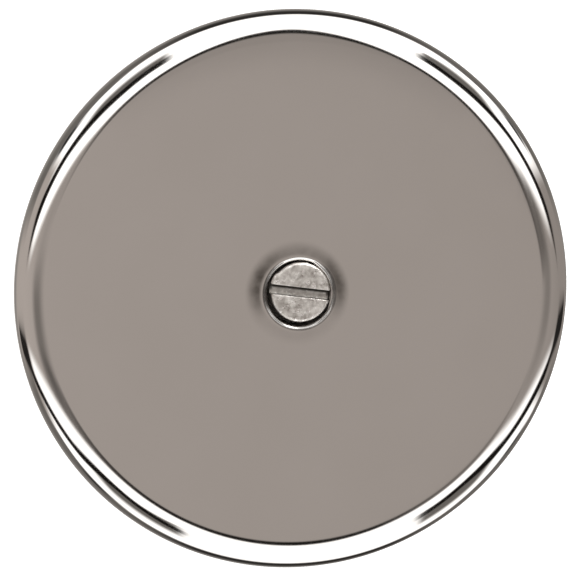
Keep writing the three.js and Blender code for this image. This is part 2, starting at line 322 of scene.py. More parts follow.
def plated_screw():
    """Nickel plating over a forged head, with pits, bright rubbed specks, and painted shade in the slot that
    is darkest along its upper wall and at its ends.
    """
    nickel = Surface("plated_screw", (0.72, 0.70, 0.68), 1.0, 0.35)
    pits = nickel.noise(1.3 * MM, 4.0, 0.6)
    grain = nickel.noise(0.35 * MM, 3.0, 0.6)
    specks = nickel.noise(0.9 * MM, 2.0, 0.5).ramp(0.56, 0.68)

    x, y, z = nickel.axes()
    on_head = z.step(-3 * MM, -2 * MM, 0.25, 1.0)
    shade = (pits.ramp(0.35, 0.62) - 0.75) * on_head + 0.75
    specks = specks * on_head
    plating = mix_colours(nickel.tree, shade, (0.48, 0.445, 0.41), (0.73, 0.69, 0.645))
    plating = mix_colours(nickel.tree, specks, plating, (0.93, 0.89, 0.85))
    x, y = x - HEAD_OFFSET.x, y - HEAD_OFFSET.y
    across_slot = y * math.cos(SLOT_TURN) - x * math.sin(SLOT_TURN)
    half = SLOT_WIDTH / 2
    # Painted shade in the slot: darkest along its upper wall, lighter towards its lower one, and dark where
    # the slot runs out past the head's face.
    slot_shade_share = across_slot.step(0.1 * MM, 0.6 * MM, 0.32, 0.97)
    painted_slot_shade_top = across_slot.step(0, half, HEAD_TOP_Z - 0.4 * MM, HEAD_TOP_Z - 0.05 * MM)
    in_slot = (
        z.step(painted_slot_shade_top - 0.2 * MM, painted_slot_shade_top).invert()
        * z.step(HEAD_TOP_Z - SLOT_DEPTH - 0.2 * MM, HEAD_TOP_Z - SLOT_DEPTH - 0.1 * MM)
        * abs(across_slot).step(half + 0.1 * MM, half + 0.25 * MM).invert()
    )
    from_axis = (x * x + across_slot * across_slot).math("SQRT")
    at_end = from_axis.step(HEAD_FACE_RADIUS - 0.2 * MM, HEAD_FACE_RADIUS + 0.4 * MM)
    slot_shade_share = slot_shade_share.most(at_end * across_slot.step(-0.6 * MM, 0.1 * MM, 0.3, 0.9))
    painted_slot_shade = (in_slot * slot_shade_share).clamped()
    # Mixes the slot's dark painted shade colour into the plating.
    nickel.set("Base Color", mix_colours(nickel.tree, painted_slot_shade, plating, (0.04, 0.035, 0.03)))
    nickel.set("Roughness", pits.ramp(0.3, 0.7, 0.26, 0.42) - specks * 0.08 + painted_slot_shade * 0.25)
    nickel.bump(pits * on_head, 0.07 * MM, 0.8)
    nickel.bump(grain * on_head, 0.015 * MM, 0.6)
    nickel.bump(specks, 0.02 * MM, 0.6)
    return nickel.material


def zinc_steel():
    """Bright zinc plating: fine grain, cloudy patches and a faint iridescence."""
    zinc = Surface("zinc_steel", (0.62, 0.63, 0.65), 1.0, 0.4)
    clouds = zinc.noise(7 * MM, 5.0, 0.6)
    grain = zinc.noise(0.3 * MM, 3.0)
    drawn = zinc.noise(0.5 * MM, 2.0, place=zinc.stretched(0.06, 1, 1))
    zinc.set("Roughness", clouds.ramp(0.3, 0.7, 0.3, 0.48) + drawn.ramp(0.4, 0.7, 0.0, 0.05))
    film = mix_colours(zinc.tree, clouds.ramp(0.38, 0.62), (0.60, 0.62, 0.66), (0.70, 0.69, 0.64))
    zinc.set("Base Color", film)
    zinc.bump(grain, 0.012 * MM, 0.6)
    zinc.bump(drawn, 0.02 * MM, 0.5)
    return zinc.material


def spring_steel():
    """Dark phosphated spring steel with lighter, rubbed patches."""
    spring = Surface("spring_steel", (0.2, 0.2, 0.21), 1.0, 0.45)
    rubbed = spring.noise(1.8 * MM, 5.0, 0.65)
    grain = spring.noise(0.2 * MM, 2.0)
    spring.set("Roughness", rubbed.ramp(0.35, 0.65, 0.52, 0.32))
    shade = mix_colours(spring.tree, rubbed.ramp(0.45, 0.7), (0.16, 0.16, 0.17), (0.36, 0.35, 0.34))
    spring.set("Base Color", shade)
    spring.bump(grain, 0.01 * MM, 0.7)
    return spring.material


def machined_brass():
    """Brass with fine sawn lines and a dull film in places."""
    brass = Surface("brass", (0.72, 0.55, 0.27), 1.0, 0.3)
    film = brass.noise(3 * MM, 4.0, 0.6)
    lines = brass.noise(0.3 * MM, 2.0, place=brass.stretched(0.05, 1, 1))
    brass.set("Roughness", film.ramp(0.3, 0.7, 0.24, 0.42))
    shade = mix_colours(brass.tree, film.ramp(0.4, 0.65), (0.76, 0.59, 0.30), (0.55, 0.40, 0.20))
    brass.set("Base Color", shade)
    brass.bump(lines, 0.015 * MM, 0.8)
    return brass.material


def black_rubber():
    """Moulded rubber with a fine matt skin and a trace of dust."""
    rubber = Surface("black_rubber", (0.03, 0.03, 0.03), 0.0, 0.7)
    skin = rubber.noise(0.25 * MM, 3.0)
    dust = rubber.noise(5 * MM, 5.0, 0.65)
    rubber.set("Roughness", dust.ramp(0.3, 0.7, 0.55, 0.8))
    shade = mix_colours(rubber.tree, dust.ramp(0.45, 0.75), (0.022, 0.022, 0.023), (0.06, 0.058, 0.055))
    rubber.set("Base Color", shade)
    rubber.bump(skin, 0.02 * MM, 0.5)
    return rubber.material


def black_fibre():
    """Pressed fibre board: a felted surface with short pale hairs."""
    fibre = Surface("black_fibre", (0.05, 0.045, 0.04), 0.0, 0.85)
    hairs = fibre.noise(0.4 * MM, 4.0, 0.7, fibre.stretched(1, 0.25, 1))
    shade = mix_colours(fibre.tree, hairs.ramp(0.4, 0.75), (0.035, 0.032, 0.028), (0.12, 0.105, 0.09))
    fibre.set("Base Color", shade)
    fibre.set("Roughness", hairs.ramp(0.3, 0.7, 0.75, 0.92))
    fibre.bump(hairs, 0.03 * MM, 0.6)
    return fibre.material


# ---------------------------------------------------------------- mesh tools


def finish_mesh(name, mesh_builder, sharp_degrees=SHARP_DEGREES):
    """A new object from a bmesh, cleaned, with its faces pointing out and smooth except at sharp edges."""
    bmesh.ops.remove_doubles(mesh_builder, verts=mesh_builder.verts, dist=0.0005 * MM)
    bmesh.ops.dissolve_degenerate(mesh_builder, edges=mesh_builder.edges, dist=0.0002 * MM)
    bmesh.ops.recalc_face_normals(mesh_builder, faces=mesh_builder.faces)
    mesh = bpy.data.meshes.new(name)
    mesh_builder.to_mesh(mesh)
    mesh_builder.free()
    mesh.shade_smooth()
    mesh.set_sharp_from_angle(angle=math.radians(sharp_degrees))
    made = bpy.data.objects.new(name, mesh)
    bpy.context.collection.objects.link(made)
    return made


def joined_columns(columns, section_closed=True, round_closed=True):
    """A bmesh from columns of points round an axis, each joined to the next.
    section_closed: a column's last point joins its first. round_closed: the last column joins the first;
    without it, closed sections at the two ends are capped."""
    builder = bmesh.new()
    grid = [[builder.verts.new(point) for point in column] for column in columns]
    rows = len(grid[0])
    for i in range(len(grid) if round_closed else len(grid) - 1):
        column, following = grid[i], grid[(i + 1) % len(grid)]
        for j in range(rows if section_closed else rows - 1):
            k = (j + 1) % rows
            builder.faces.new((column[j], following[j], following[k], column[k]))
    if section_closed and not round_closed:
        builder.faces.new(grid[0])
        builder.faces.new(grid[-1])
    return builder


def placed(section, angle):
    """A section of (radius, height) points, stood at an angle about Z."""
    return [Vector((r * math.cos(angle), r * math.sin(angle), z)) for r, z in section]


def turned(name, section, steps):
    """Turns a closed section of (radius, height) points about Z."""
    return finish_mesh(name, joined_columns([placed(section, TAU * i / steps) for i in range(steps)]))


def smooth(value, start, end):
    """0 before start, 1 after end, and smooth between them."""
    t = min(max((value - start) / (end - start), 0), 1)
    return t * t * (3 - 2 * t)


def window(angle, start, end, fade):
    """1 where an angle is between start and end, falling smoothly to 0 over fade outside them.
    The angle is in radians and the other three in degrees."""
    away = abs((math.degrees(angle) - (start + end) / 2 + 180) % 360 - 180)
    half = (end - start) / 2
    return 1 - smooth(away, half, half + fade)


def arc(centre_r, centre_z, semi_r, semi_z, start, end, steps):
    """Points of an ellipse's arc between two angles in degrees, both ends included."""
    angles = [math.radians(start + (end - start) * i / steps) for i in range(steps + 1)]
    return [(centre_r + semi_r * math.cos(a), centre_z + semi_z * math.sin(a)) for a in angles]


def beside(points, distance):
    """The line that runs beside an open line of points, at a distance to its right."""
    normals = []
    for (r0, z0), (r1, z1) in zip(points, points[1:]):
        normals.append(Vector((z1 - z0, r0 - r1)).normalized())
    moved = []
    for i, point in enumerate(points):
        before, after = normals[max(i - 1, 0)], normals[min(i, len(normals) - 1)]
        mitre = (before + after).normalized()
        moved.append(tuple(Vector(point) + mitre * (distance / mitre.dot(after))))
    return moved


def rounded_ring(inner, outer, low, high, radius, steps=5):
    """A ring's section with rounded corners."""
    return [
        *arc(inner + radius, low + radius, radius, radius, 180, 270, steps),
        *arc(outer - radius, low + radius, radius, radius, 270, 360, steps),
        *arc(outer - radius, high - radius, radius, radius, 0, 90, steps),
        *arc(inner + radius, high - radius, radius, radius, 90, 180, steps),
    ]


def modify(obj, kind, **settings):
    """Adds a modifier and applies it."""
    modifier = obj.modifiers.new(kind.lower(), kind)
    for name, value in settings.items():
        setattr(modifier, name, value)
    depsgraph = bpy.context.evaluated_depsgraph_get()
    made = bpy.data.meshes.new_from_object(obj.evaluated_get(depsgraph))
    obj.modifiers.clear()
    old = obj.data
    obj.data = made
    bpy.data.meshes.remove(old)


def cut(obj, cutter):
    """Cuts obj by a solid, which is then removed, and clears away the slivers that this leaves."""
    modify(obj, "BOOLEAN", object=cutter, operation="DIFFERENCE", solver="EXACT")
    bpy.data.objects.remove(cutter)
    builder = bmesh.new()
    builder.from_mesh(obj.data)
    bmesh.ops.remove_doubles(builder, verts=builder.verts, dist=0.001 * MM)
    bmesh.ops.dissolve_degenerate(builder, edges=builder.edges, dist=0.001 * MM)
    builder.to_mesh(obj.data)
    builder.free()
    obj.data.set_sharp_from_angle(angle=math.radians(SHARP_DEGREES))


def install(obj, node, body, material):
    """Gives a piece its material and the body that it rides on, and hides the CAD node that it stands for."""
    obj.data.materials.clear()
    obj.data.materials.append(material)
    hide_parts(node)
    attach(obj, body)


# ---------------------------------------------------------------- pieces of the cover


def roll_section(start, end, steps):
    """The rolled rim's outer surface, from the face at 90 degrees out to the widest point at 0."""
    return arc(PLATE_RADIUS - ROLL_WIDTH, FACE_Z - ROLL_DROP, ROLL_WIDTH, ROLL_DROP, start, end, steps)


def dimple_section(angle, rounded):
    """The dimple's outer surface at an angle about Z, from the screw hole up to its mouth, which is rounded
    or a plain corner. The wall comes in towards the screw's head on the +X side."""
    wall = DIMPLE_WALL_RADIUS - DIMPLE_DENT * window(angle, *DENT_ARC)
    mouth, fillet, drop = DIMPLE_MOUTH_RADIUS, DIMPLE_FILLET, DIMPLE_SHOULDER_DROP
    shoulder = arc(mouth, FACE_Z - drop, mouth - wall, drop, 180, 90, 20) if rounded else [(wall, FACE_Z)]
    return [
        (SCREW_HOLE_RADIUS, DIMPLE_FLOOR_Z),
        (wall - 1.5 * fillet, DIMPLE_FLOOR_Z),
        *arc(wall - fillet, DIMPLE_FLOOR_Z + fillet, fillet, fillet, -90, 0, 8),
        *shoulder,
    ]


def cover_section(angle):
    """The sheet's section at an angle about Z. Its underside follows a plain corner at the dimple's mouth,
    because a line beside the small rounded one would cross itself."""
    face_width = PLATE_RADIUS - ROLL_WIDTH - DIMPLE_MOUTH_RADIUS
    face_shares = (0.01, 0.1, 0.25, 0.5, 0.75, 0.9, 0.99)
    outside = [
        *[(DIMPLE_MOUTH_RADIUS + face_width * share, FACE_Z) for share in face_shares],
        *roll_section(90, 0, 32),
        (PLATE_RADIUS, SKIRT_Z + 0.1 * SHEET),
    ]
    top = [*dimple_section(angle, True), *outside]
    underside = beside([*dimple_section(angle, False), *outside], SHEET)
    skirt_r = PLATE_RADIUS - SHEET / 2
    skirt = arc(skirt_r, SKIRT_Z + 0.15 * SHEET, SHEET / 2, 0.15 * SHEET, 180, 360, 8)
    return [*underside[:-1], *skirt, *reversed(top[:-1])]


def cover_plate():
    angles = [TAU * i / PLATE_STEPS for i in range(PLATE_STEPS)]
    columns = [placed(cover_section(angle), angle) for angle in angles]
    return finish_mesh("cover_plate_sheet", joined_columns(columns))


def rim_gasket():
    low, high = gasket_low.z, gasket_high.z
    inner = PLATE_RADIUS - 6.2 * MM
    outer = PLATE_RADIUS - 1.4 * MM
    groove = (inner + outer) / 2
    groove_half = 0.6 * MM
    lip = 0.3 * MM
    crown = beside(roll_section(84, 14, 16), SHEET + 0.2 * MM)
    section = [
        (inner, high - lip),
        *arc(inner + lip, low + lip, lip, lip, 180, 270, 4),
        *arc(groove - groove_half - lip, low + lip, lip, lip, 270, 360, 4),
        (groove - groove_half, low + 1.5 * lip),
        (groove + groove_half, low + 1.5 * lip),
        *arc(groove + groove_half + lip, low + lip, lip, lip, 180, 270, 4),
        *arc(outer - lip, low + lip, lip, lip, 270, 360, 4),
        *reversed(crown),
    ]
    return turned("rim_gasket_ring", section, GASKET_STEPS)


def head_washer():
    bore = SCREW_HOLE_RADIUS - 0.2 * MM
    section = rounded_ring(bore, washer_high.x, washer_low.z, washer_high.z, 0.12 * MM)
    return turned("head_washer_ring", section, SMALL_STEPS)


def o_ring():
    half = (o_ring_high.z - o_ring_low.z) / 2
    middle = (o_ring_high.z + o_ring_low.z) / 2
    section = arc(o_ring_high.x - half, middle, half, half, 0, 360, 24)[:-1]
    return turned("shank_o_ring_ring", section, SMALL_STEPS)


# ---------------------------------------------------------------- screw


def thread_radius(phase, crest, root):
    """The radius of a 60 degree thread, by the share of a pitch from the middle of its crest."""
    away = abs(phase - math.floor(phase + 0.5))
    return crest + (root - crest) * min(max((away - CREST_HALF) / FLANK, 0), 1)


def thread_rows(angle, low, high, crest, root):
    """One column of a right-handed thread between two heights, from the top down."""
    turns = angle / TAU
    marks = (CREST_HALF, CREST_HALF + FLANK, 1 - CREST_HALF - FLANK, 1 - CREST_HALF)
    heights = []
    first = math.floor(low / PITCH) - 2
    last = math.ceil(high / PITCH) + 2
    for whole in range(first, last):
        heights += [min(max((whole + turns + mark) * PITCH, low), high) for mark in marks]
    return [(thread_radius(z / PITCH - turns, crest, root), z) for z in reversed(heights)]


def screw_column(angle):
    tip = screw_low.z
    seat = HEAD_TOP_Z - HEAD_HEIGHT
    groove_low, groove_high = clip_low.z - 0.1 * MM, clip_high.z + 0.1 * MM
    groove_radius = 3 * MM
    soft = 0.12 * MM
    neck_low = seat - 1.6 * MM
    edge_z = HEAD_TOP_Z - HEAD_EDGE_DROP
    burr = BURR * window(angle, *BURR_ARC)
    edge_width = HEAD_RADIUS - HEAD_FACE_RADIUS + burr
    head = [
        (0, HEAD_TOP_Z),
        (HEAD_FACE_RADIUS - 2 * soft, HEAD_TOP_Z),
        *arc(HEAD_FACE_RADIUS, edge_z, edge_width, HEAD_EDGE_DROP, 90, 0, 14),
        (HEAD_RADIUS + burr, edge_z - 2 * soft),
        (HEAD_RADIUS, edge_z - 4 * soft),
        (HEAD_RADIUS, HEAD_TOP_Z - HEAD_HEIGHT / 2),
        (HEAD_RADIUS, seat + soft),
        (HEAD_RADIUS - soft, seat),
    ]
    shank = [
        (NECK_RADIUS + soft, seat),
        (NECK_RADIUS, seat - soft),
        (NECK_RADIUS, neck_low),
        *thread_rows(angle, groove_high, neck_low - 0.3 * MM, THREAD_RADIUS, ROOT_RADIUS),
        (groove_radius, groove_high),
        (groove_radius, groove_low),
        *thread_rows(angle, tip + 0.7 * MM, groove_low, THREAD_RADIUS, ROOT_RADIUS),
        (THREAD_RADIUS - 1.3 * MM, tip),
        (0, tip),
    ]
    return [point + HEAD_OFFSET for point in placed(head, angle)] + placed(shank, angle)


def slot_cutter():
    """The slot as a solid, with rounded lips where it meets the head's top."""
    half = SLOT_WIDTH / 2
    lip = 0.2 * MM
    floor = HEAD_TOP_Z - SLOT_DEPTH
    corner = 0.15 * MM
    right = [
        *arc(half - corner, floor + corner, corner, corner, 270, 360, 4),
        *arc(half + lip, HEAD_TOP_Z - lip, lip, lip, 180, 90, 5),
        (half + lip, HEAD_TOP_Z + MM),
    ]
    outline = [*right, *[(-y, z) for y, z in reversed(right)]]
    builder = bmesh.new()
    ends = []
    for x in (-2 * HEAD_RADIUS, 2 * HEAD_RADIUS):
        ends.append([builder.verts.new((x, y, z)) for y, z in outline])
        builder.faces.new(ends[-1])
    for i in range(len(outline)):
        k = (i + 1) % len(outline)
        builder.faces.new((ends[0][i], ends[0][k], ends[1][k], ends[1][i]))
    cutter = finish_mesh("slot_cutter", builder)
    cutter.data.transform(Matrix.Translation(HEAD_OFFSET) @ Matrix.Rotation(SLOT_TURN, 4, "Z"))
    return cutter


def center_screw():
    # The thread climbs one pitch in a turn, so the last column repeats the first one a pitch higher.
    columns = [screw_column(TAU * i / SMALL_STEPS) for i in range(SMALL_STEPS + 1)]
    builder = joined_columns(columns, section_closed=False, round_closed=False)
    screw = finish_mesh("center_screw_body", builder)
    cut(screw, slot_cutter())
    modify(screw, "WEIGHTED_NORMAL", keep_sharp=True)
    return screw


# ---------------------------------------------------------------- spring parts


def retaining_washer():
    """A push-on washer whose teeth are bent towards the screw's tip and bite on its thread."""
    teeth = 6
    tooth_radius, slit_radius = 3.9 * MM, 5.8 * MM
    bent = 0.45 * MM
    low, high = retainer_low.z, retainer_high.z
    edge = 0.12 * MM
    slit_half = math.radians(7.5)
    tooth_half = math.pi / teeth - 1.5 * slit_half
    slit_angles = [slit_half * (i / 4 - 1) for i in range(9)]
    columns = []
    for i in range(teeth):
        middle = TAU * i / teeth
        slit = [(angle, slit_radius - 0.3 * MM * (angle / slit_half) ** 2) for angle in slit_angles]
        tooth_middle = math.pi / teeth
        tooth = [(tooth_middle + tooth_half * (j / 6 - 1), tooth_radius) for j in range(13)]
        for angle, bore in [*slit, *tooth]:
            section = [(r, z - bent * (1 - smooth(r, tooth_radius, slit_radius)))
                       for r, z in washer_section(bore, retainer_high.x, low, high, edge)]
            columns.append(placed(section, middle + angle))
    return finish_mesh("retaining_washer_star", joined_columns(columns))


def washer_section(bore, outer, low, high, edge):
    """A flat ring's section with small edge roundings and points along its width, so that it can be bent."""
    inner = bore + edge
    rim = outer - edge
    across = [inner + (rim - inner) * i / 8 for i in range(9)]
    return [
        *arc(inner, low + edge, edge, edge, 180, 240, 2),
        *[(r, low) for r in across],
        *arc(rim, low + edge, edge, edge, 300, 360, 2),
        *arc(rim, high - edge, edge, edge, 0, 60, 2),
        *[(r, high) for r in reversed(across)],
        *arc(inner, high - edge, edge, edge, 120, 180, 2),
    ]


def end_clip():
    """An open clip with three inner pads that sit in the screw's groove."""
    mouth = math.radians(38)
    seat, relief, outer = 3.2 * MM, 4.3 * MM, clip_high.y
    pad_half = math.radians(17)
    fade = math.radians(12)
    round_end = math.radians(9)
    pads = (mouth + pad_half, math.pi, TAU - mouth - pad_half)
    steps = 144
    columns = []
    for i in range(steps + 1):
        angle = mouth + (TAU - 2 * mouth) * i / steps
        away = min(abs(angle - pad) for pad in pads)
        inner = seat + (relief - seat) * smooth(away, pad_half, pad_half + fade)
        to_end = min(angle - mouth, TAU - mouth - angle)
        rounding = 1 - math.sqrt(1 - (1 - min(to_end / round_end, 1)) ** 2)
        bore = inner + 0.2 * MM * rounding
        reach = outer - 1.1 * MM * rounding
        section = washer_section(bore, reach, clip_low.z, clip_high.z, 0.1 * MM)
        columns.append(placed(section, angle))
    return finish_mesh("end_clip_ring", joined_columns(columns, round_closed=False))


# ---------------------------------------------------------------- bridge


def strap_top(x):
    """The height of the strap's top face along its length."""
    bend = BAR_BEND
    x = abs(x)
    slope = (BAR_END_TOP_Z - BAR_MIDDLE_TOP_Z) / (BAR_RAMP_HALF - BAR_MIDDLE_HALF)
    ramp = slope * (x - BAR_MIDDLE_HALF)
    for corner, sign in ((BAR_MIDDLE_HALF, 1), (BAR_RAMP_HALF, -1)):
        if abs(x - corner) < bend:
            straight = 0 if sign > 0 else slope * (BAR_RAMP_HALF - BAR_MIDDLE_HALF)
            curve = slope * (x - corner + bend) ** 2 / (4 * bend)
            base = straight if sign > 0 else straight - slope * bend
            part = curve if sign > 0 else slope * (x - corner + bend) - curve
            return BAR_MIDDLE_TOP_Z + base + part
    if x < BAR_MIDDLE_HALF:
        return BAR_MIDDLE_TOP_Z
    return BAR_END_TOP_Z if x > BAR_RAMP_HALF else BAR_MIDDLE_TOP_Z + ramp


def strap_thickness(x):
    """The strap's thickness measured straight down, which is more on the ramps."""
    step = 0.05 * MM
    slope = (strap_top(x + step) - strap_top(x - step)) / (2 * step)
    return BAR_THICKNESS * math.hypot(1, slope)


def strap_half_width(x):
    """Half the strap's width, with round corners at its ends."""
    half = bar_high.y
    into_corner = abs(x) - (bar_high.x - BAR_CORNER_RADIUS)
    if into_corner <= 0:
        return half
    return half - BAR_CORNER_RADIUS + math.sqrt(max(BAR_CORNER_RADIUS**2 - into_corner**2, 0))


def side_depth(x):
    """How far the folded sides reach below the strap, with their lower corners rounded."""
    share = (BAR_SIDE_TOP_HALF - abs(x)) / (BAR_SIDE_TOP_HALF - BAR_SIDE_FOOT_HALF)
    soft = 0.15
    if share >= 1 + soft:
        share = 1
    elif share > 1 - soft:
        share -= (share - 1 + soft) ** 2 / (4 * soft)
    return BAR_SIDE_DEPTH * max(share, 0)


def bar_section(x):
    """Half of the bar's section at x, from the middle of the top round to the middle underneath."""
    top = strap_top(x)
    under = top - strap_thickness(x)
    width = strap_half_width(x)
    depth = side_depth(x)
    folded = smooth(depth, 0, 0.35 * BAR_SIDE_DEPTH)
    fold = BAR_EDGE + (BAR_FOLD - BAR_EDGE) * folded
    inner_fold = max(fold - BAR_SIDE_THICKNESS, 0.3 * BAR_EDGE) * folded
    foot = under - depth
    edge = BAR_EDGE
    leg = width - BAR_SIDE_THICKNESS
    keeper = KEEPER_SIZE * (1 - smooth(abs(x), KEEPER_LENGTH / 2 - 0.4 * MM, KEEPER_LENGTH / 2))
    keeper_top = foot + min(KEEPER_SIZE, depth * KEEPER_SIZE / BAR_SIDE_DEPTH)
    inner_edge = min(edge, depth / 4)
    return [
        (0, top),
        (0.5 * width, top),
        *arc(width - fold, top - fold, fold, fold, 90, 0, 8),
        *arc(width - edge, foot + edge, edge, edge, 0, -90, 4),
        *arc(leg - keeper + inner_edge, foot + inner_edge, inner_edge, inner_edge, 270, 180, 4),
        (leg - keeper, keeper_top - 0.4 * inner_edge),
        (leg - 0.6 * keeper, keeper_top),
        (leg, keeper_top + 0.4 * keeper),
        *arc(leg - inner_fold, under - inner_fold, inner_fold, inner_fold, 0, 90, 6),
        (0.3 * width, under),
        (0, under),
    ]


def bar_stations():
    """Places along the bar, closer together where it bends or ends."""
    half = bar_high.x
    end = [half - BAR_CORNER_RADIUS * (1 - math.sin(math.radians(90 * i / 16))) for i in range(17)]
    middle = [0.5 * MM * i for i in range(int((half - BAR_CORNER_RADIUS) / (0.5 * MM)) + 1)]
    right = [*middle, *end]
    return [-x for x in reversed(right)] + right[1:]


def bridge_bar():
    columns = []
    for x in bar_stations():
        half = bar_section(x)
        whole = half + [(-y, z) for y, z in reversed(half[1:-1])]
        columns.append([Vector((x, y, z)) for y, z in whole])
    bar = finish_mesh("bridge_bar_strap", joined_columns(columns, round_closed=False))
    cut(bar, hole_cutter(SCREW_HOLE_RADIUS, BAR_MIDDLE_TOP_Z - BAR_THICKNESS, BAR_MIDDLE_TOP_Z, 0.35 * MM))
    return bar


def hole_cutter(radius, low, high, flare):
    """A round cutter that widens where it leaves the solid, so that the hole gets rounded lips."""
    section = [
        (0, low - flare),
        (radius + 2 * flare, low - flare),
        *arc(radius + flare, low + flare, flare, flare, 270, 180, 5),
        *arc(radius + flare, high - flare, flare, flare, 180, 90, 5),
        (radius + 2 * flare, high + flare),
        (0, high + flare),
    ]
    columns = [placed(section, TAU * i / SMALL_STEPS) for i in range(SMALL_STEPS)]
    return finish_mesh("hole_cutter", joined_columns(columns, section_closed=False))


def bridge_nut():
    """A square nut, chamfered on the corners of its lower face."""
    half, low, high = nut_high.x, nut_low.z, nut_high.z
    corner, edge, chamfer = 0.5 * MM, 0.25 * MM, 1.4 * MM
    bore, sink = 4.12 * MM, 0.5 * MM
    corner_reach = half * math.sqrt(2) - half
    outline = []
    for quarter in range(4):
        turn = Matrix.Rotation(quarter * TAU / 4, 2)
        side = [Vector((half, (half - corner) * (i / 8 - 1))) for i in range(17)]
        rounding = [Vector(point) for point in arc(half - corner, half - corner, corner, corner, 0, 90, 6)]
        outline += [turn @ point for point in [*side, *rounding[1:-1]]]
    columns = []
    for point in outline:
        reach = point.length
        rise = max(reach - half, 0) / corner_reach * chamfer
        section = [
            (bore, low + sink),
            (bore + sink, low),
            (min(half - edge, reach - edge), low),
            (half if rise else reach - 0.4 * edge, low + 0.12 * MM),
            (reach, low + max(rise, edge)),
            (reach, (low + high) / 2),
            (reach, high - edge),
            (reach - 0.3 * edge, high - 0.3 * edge),
            (reach - edge, high),
            (bore + sink, high),
            (bore, high - sink),
        ]
        columns.append(placed(section, math.atan2(point.y, point.x)))
    return finish_mesh("bridge_nut_square", joined_columns(columns), 25)


# ---------------------------------------------------------------- studio


def distance_to_line(x, y, start, end):
    """The distance from (x, y), two Terms, to the line between two points."""
    dx, dy = end[0] - start[0], end[1] - start[1]
    along = (((x - start[0]) * dx + (y - start[1]) * dy) / (dx * dx + dy * dy)).clamped()
    off_x = x - start[0] - along * dx
    off_y = y - start[1] - along * dy
    return (off_x * off_x + off_y * off_y).math("SQRT")


class Sky:
    """The slope that a mirror needs to show each direction of the world to the camera: x to the right of the
    view and y up it. across and up are the sizes of x and y, scaled on each side to bring the four quarters
    to the same layout, because the real lights didn't stand quite evenly round the plate."""

    def __init__(self, tree):
        self.direction = tree.nodes.new("ShaderNodeTexCoord").outputs["Generated"]
        halfway = tree.nodes.new("ShaderNodeVectorMath")
        halfway.operation = "ADD"
        feed(tree, halfway.inputs[0], self.direction)
        halfway.inputs[1].default_value = camera_direction
        lean_x, lean_y, rise = parts_of(tree, halfway.outputs[0])
        rise = rise.most(0.03)
        self.x = lean_x / rise
        self.y = lean_y / rise
        self.steep = (self.x * self.x + self.y * self.y).math("SQRT")
        self.across = (self.x * 1.04).most(self.x * -0.87)
        self.up = (self.y * 0.91).most(self.y * -1.04)
        self.slant = self.up / (self.across + 0.001)
        self.top = self.y.step(-0.01, 0.01)
        self.bottom = self.top.invert()
        self.right = self.x.step(-0.01, 0.01)
        self.left = self.right.invert()
        self.top_left = self.top * self.left
        self.top_right = self.top * self.right
        self.bottom_left = self.bottom * self.left
        self.bottom_right = self.bottom * self.right
        self.tip = self.across * (self.top * 0.36 + 1.0)


# The numbers in the layers below are slopes and shares, fitted to the reflections on the photo's rim.


def box_foot(sky):
    """The height at which the two soft boxes begin: a line that peaks in the middle of the view."""
    across = sky.across
    foot = across.step(0.0, 0.10, 1.0, 0.0) * (sky.top * 0.058 + 0.06) + (sky.top * -0.013 + 0.095)
    foot = foot - sky.x.step(-0.05, 0.05) * (sky.top * 0.012 + 0.014)
    foot = foot - sky.top_left * ((across - 0.12).most(0.0) * 0.20 - 0.004)
    return foot + sky.right * across.step(0.10, 0.16) * 0.013


def soft_boxes(sky, foot):
    """The two boxes, above and below in the picture, with slanting ends."""
    softness = sky.across * (sky.right * 0.03 + 0.03) + 0.012
    ends = (sky.slant + sky.right * 0.14).step(0.50, 0.68).most(sky.tip.step(0.36, 0.46).invert())
    return (sky.up - foot).step(-softness, softness) * sky.steep.step(0.60, 0.74).invert() * ends


def box_edges(sky, foot):
    """A black edge along the foot of each box."""
    across = sky.across
    edge = abs(sky.up - foot + 0.026).step(0.012, 0.036).invert() * across.step(0.05, 0.12, 1.0, 0.5)
    edge = edge * across.step(0.13, 0.22).invert()
    edge = edge * ((sky.top_left + sky.bottom_right) * across.step(0.07, 0.10) * -0.75 + 1.0)
    return edge * (sky.bottom_right * across.step(0.03, 0.06) * -0.45 + 1.0)


def dark_sides(sky):
    """Darker places in the room at the left and right, between the boxes."""
    reach = sky.up - sky.bottom_left * 0.035
    side = sky.across.step(0.07, 0.16) * sky.across.step(0.18, 0.25).invert()
    side = side * reach.step(0.01, 0.08).invert()
    return side * (sky.right * 0.35 + sky.left * sky.y.step(-0.01, 0.05).invert() * 0.6 + 0.10)


def corner_flags(sky):
    """A black stroke at each corner of the boxes, and a grey panel behind its inner half."""
    spread = sky.bottom_left * -0.10 + 1.0
    x = sky.across * spread
    y = (sky.up - sky.bottom * (sky.across - 0.18).most(0.0) * 0.4) * spread
    points = ((0.097, 0.266), (0.155, 0.186), (0.235, 0.166), (0.318, 0.106), (0.44, 0.03))
    away = [distance_to_line(x, y, start, end) for start, end in zip(points, points[1:])]
    nearest = away[0].least(away[1]).least(away[2]).least(away[3]) * (sky.bottom_left * 0.3 + 1.0)
    leaning = sky.across - sky.up * (sky.top_right * 0.06 - sky.bottom_left * 0.10 + 0.48)
    stroke = nearest.step(0.020, 0.042).invert() * sky.tip.step(0.46, 0.56).invert()
    stroke = stroke * leaning.step(0.0, 0.018)
    stroke = stroke * (sky.top * (sky.across - sky.right * 0.04).step(0.33, 0.38)).invert()
    panel = leaning.step(0.004, 0.022) * leaning.step(0.12, 0.17).invert() * y.step(0.18, 0.20)
    return stroke, panel * sky.steep.step(0.36, 0.46).invert()


def surround(tree, sky):
    """What is steeper than the boxes: where it starts, and its grey, which is lighter at the corners."""
    grain = noise_of(tree, sky.direction, 40.0)
    grey = sky.slant.step(0.9, 3.0, 0.17, 0.03) * grain.ramp(0.3, 0.7, 0.9, 1.1)
    return sky.steep.step(0.58, 0.68) * sky.slant.step(0.15, 0.45), grey


